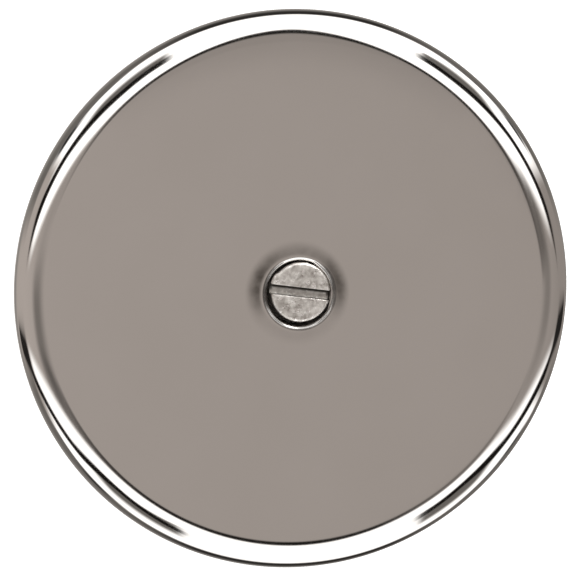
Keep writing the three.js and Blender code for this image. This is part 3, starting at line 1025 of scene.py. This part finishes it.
def surround_marks(sky):
    """In the surround: a dark line, a notch in each corner and a dark spot at each lower side."""
    line = sky.steep.bell(0.62, 0.035) * sky.slant.step(0.5, 0.7) * sky.slant.step(1.1, 1.6).invert()
    notch_across = sky.top_right * 0.06 + sky.bottom_right * 0.09 + sky.bottom_left * 0.04 + 0.41
    notch_up = sky.top_right * 0.01 + sky.bottom_right * 0.07 + sky.bottom_left * 0.19 + 0.29
    notch = (sky.across.bell(notch_across, 0.05) * sky.up.bell(notch_up, 0.045) * 1.4).clamped()
    spot = sky.bottom * sky.across.step(0.40, 0.48) * sky.across.step(0.74, 0.88).invert()
    spot = (spot * sky.up.bell(sky.x * -0.04 + 0.105, 0.05) * 1.6).clamped()
    return line, notch, spot


def sky_light(tree):
    """The light from each direction: the grey room, and in front of it one layer after another."""
    sky = Sky(tree)
    foot = box_foot(sky)
    stroke, panel = corner_flags(sky)
    ring, ring_grey = surround(tree, sky)
    line, notch, spot = surround_marks(sky)
    lamp = sky.x.bell(0.12, 0.06) * sky.y.bell(0.42, 0.06)
    below = sky.steep.step(0.80, 1.50)
    below_grey = sky.steep.step(1.7, 2.4, 0.28, 0.50)

    # The room is a little darker to the right, and where the top of the rim starts to bend.
    crest = sky.steep.step(0.062, 0.074) * (sky.y / (sky.steep + 0.001)).step(0.6, 0.95)
    drift = (sky.x * -0.5 + 1.0).clamped_to(0.8, 1.2) * (crest * -0.2 + 1.0)
    light = mix_colours(tree, drift, (0, 0, 0), (0.414, 0.377, 0.353))
    layers = (
        (dark_sides(sky), (0.10, 0.092, 0.086)),
        (soft_boxes(sky, foot), mix_colours(tree, sky.top, (1.5, 1.5, 1.5), (1.8, 1.8, 1.8))),
        (lamp, (26.0, 26.0, 26.0)),
        (box_edges(sky, foot), (0.012, 0.011, 0.010)),
        (panel, (0.17, 0.16, 0.15)),
        (stroke, (0.008, 0.007, 0.006)),
        (ring, mix_colours(tree, ring_grey, (0, 0, 0), (1.0, 0.94, 0.88))),
        (line, (0.01, 0.01, 0.01)),
        (notch, (0.03, 0.03, 0.03)),
        (spot, (0.02, 0.019, 0.018)),
        (below, mix_colours(tree, below_grey, (0, 0, 0), (1.0, 0.96, 0.92))),
    )
    for share, colour in layers:
        light = mix_colours(tree, share, light, colour)
    return light


def studio_light():
    """Lights the scene from the sky, and shows plain white to the camera."""
    world = bpy.data.worlds.new("studio")
    bpy.context.scene.world = world
    world.use_nodes = True
    tree = world.node_tree
    tree.nodes.clear()
    studio = tree.nodes.new("ShaderNodeBackground")
    feed(tree, studio.inputs["Color"], sky_light(tree))
    backdrop = tree.nodes.new("ShaderNodeBackground")
    backdrop.inputs["Color"].default_value = (1, 1, 1, 1)
    seen = tree.nodes.new("ShaderNodeLightPath").outputs["Is Camera Ray"]
    chosen = tree.nodes.new("ShaderNodeMixShader")
    feed(tree, chosen.inputs[0], seen)
    feed(tree, chosen.inputs[1], studio.outputs[0])
    feed(tree, chosen.inputs[2], backdrop.outputs[0])
    feed(tree, tree.nodes.new("ShaderNodeOutputWorld").inputs["Surface"], chosen.outputs[0])
    world.cycles.sampling_method = "MANUAL"
    world.cycles.sample_map_resolution = 1024


def pale_floor():
    """A floor just under the screw's tip. It gives off light of its own, because the photo has no shadows."""
    half = 3.0
    builder = bmesh.new()
    corners = [(-half, -half), (half, -half), (half, half), (-half, half)]
    builder.faces.new([builder.verts.new((x, y, screw_low.z - 0.2 * MM)) for x, y in corners])
    floor = finish_mesh("floor", builder)
    paint = Surface("floor", (0.86, 0.86, 0.86), 0.0, 0.9)
    paint.set("Specular IOR Level", 0.1)
    paint.set("Emission Color", (1, 1, 1))
    paint.set("Emission Strength", 0.75)
    floor.data.materials.append(paint.material)
    floor.visible_glossy = False


def make_camera():
    data = bpy.data.cameras.new("camera")
    data.lens = CAMERA_LENS
    data.sensor_width = 36
    data.clip_start = 0.01
    camera = bpy.data.objects.new("camera", data)
    bpy.context.collection.objects.link(camera)
    place = camera_direction * CAMERA_DISTANCE
    forward = (CAMERA_AIM - place).normalized()
    right = forward.cross(Vector((0, 1, 0))).normalized()
    upward = right.cross(forward)
    turn = Matrix((right, upward, -forward)).transposed()
    camera.matrix_world = Matrix.Translation(place) @ turn.to_4x4()
    bpy.context.scene.camera = camera


make_camera()
studio_light()
pale_floor()

install(cover_plate(), "cover_plate", "cover", polished_plate())
install(center_screw(), "center_screw", "screw", plated_screw())
rubber_skin = black_rubber()
install(rim_gasket(), "rim_gasket", "cover", rubber_skin)
install(o_ring(), "shank_o_ring", "cover", rubber_skin)
install(head_washer(), "head_washer", "cover", black_fibre())
steel_spring = spring_steel()
install(retaining_washer(), "retaining_washer", "screw", steel_spring)
install(end_clip(), "end_clip", "screw", steel_spring)
install(bridge_bar(), "bridge_bar", "bridge", zinc_steel())
install(bridge_nut(), "bridge_nut", "bridge", machined_brass())

bpy.context.scene.view_settings.view_transform = "Standard"
